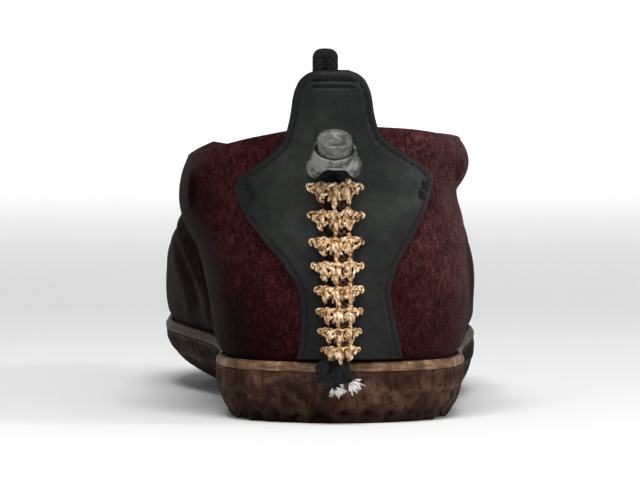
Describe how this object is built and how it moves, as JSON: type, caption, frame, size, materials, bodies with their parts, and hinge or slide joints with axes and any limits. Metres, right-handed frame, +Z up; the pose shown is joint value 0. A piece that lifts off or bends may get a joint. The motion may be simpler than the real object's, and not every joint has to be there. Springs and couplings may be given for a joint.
{
  "type": "slip-on moccasin",
  "caption": "Low slip-on moccasin for the right foot: hair-on leather upper with rolled collar, heel pull tab with laced draw cord and spring lock, rubber sole.",
  "frame": {"origin": "middle of the heel's flat spot on the ground", "axes": "+Y towards the toe, +X towards the wearer's right (the outer side), +Z up"},
  "size_m": [0.1028, 0.2986, 0.1186],
  "materials": {
    "brown_rubber": "matte",
    "tan_band": "matte",
    "footbed": "matte",
    "burgundy_hair": "short nap with a sheen",
    "dark_leather": "matte",
    "gold_lace": "braided",
    "black_cord": "braided",
    "lock_grey": "matte",
    "button_grey": "matte"
  },
  "bodies": {
    "shoe": {"outsole": "brown_rubber", "sole_rim": "tan_band", "insole": "footbed", "upper": "burgundy_hair", "heel_patch": "dark_leather", "lace_bar_1": "gold_lace", "lace_bar_2": "gold_lace", "lace_bar_3": "gold_lace", "lace_bar_4": "gold_lace", "lace_bar_5": "gold_lace", "lace_bar_6": "gold_lace", "lace_bar_7": "gold_lace", "lace_bar_8": "gold_lace", "draw_cord_medial": "black_cord", "draw_cord_lateral": "black_cord", "draw_cord_knot": "black_cord", "cord_end_medial": "black_cord", "cord_end_lateral": "black_cord", "cord_lock_body": "lock_grey", "pull_loop": "black_cord"},
    "lock_button": {"cord_lock_button": "button_grey"}
  },
  "joints": [
    {"name": "button_press", "type": "slide", "parent": "shoe", "child": "lock_button", "axis": [0, 0.5299, -0.848], "range_m": [0, 0.0025], "stiffness_N_per_m": 400}
  ]
}
